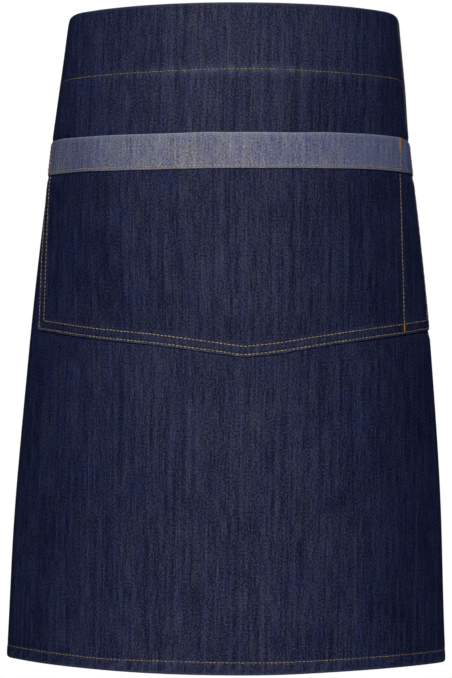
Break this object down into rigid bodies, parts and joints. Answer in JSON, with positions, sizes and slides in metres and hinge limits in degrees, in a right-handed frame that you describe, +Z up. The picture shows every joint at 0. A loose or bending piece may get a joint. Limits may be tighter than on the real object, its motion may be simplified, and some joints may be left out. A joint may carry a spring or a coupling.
{
  "type": "denim waist apron",
  "caption": "Wrap-around denim waist apron with a turned-in waistband, a wide front patch pocket with a turned-out cuff and a pen slot, and ties knotted at the back.",
  "frame": {"origin": "on the wearer's axis at mid height of the waistband", "axes": "+Z up, the front and its pocket face -Y, +X is to the right as seen from the front"},
  "size_m": [0.3444, 0.2392, 0.5028],
  "materials": {
    "indigo_denim": "washed dark indigo denim twill",
    "reversed_denim": "pale wrong side of the denim",
    "mustard_thread": "mustard topstitching thread",
    "orange_thread": "orange bar tack thread"
  },
  "bodies": {
    "root": {"apron_panel": "indigo_denim", "waist_facing": "indigo_denim", "pocket": "indigo_denim", "pocket_cuff": "reversed_denim", "tie_left": "indigo_denim", "tie_right": "indigo_denim", "tie_knot": "indigo_denim", "tie_tail_left": "indigo_denim", "tie_tail_right": "indigo_denim"}
  },
  "joints": []
}
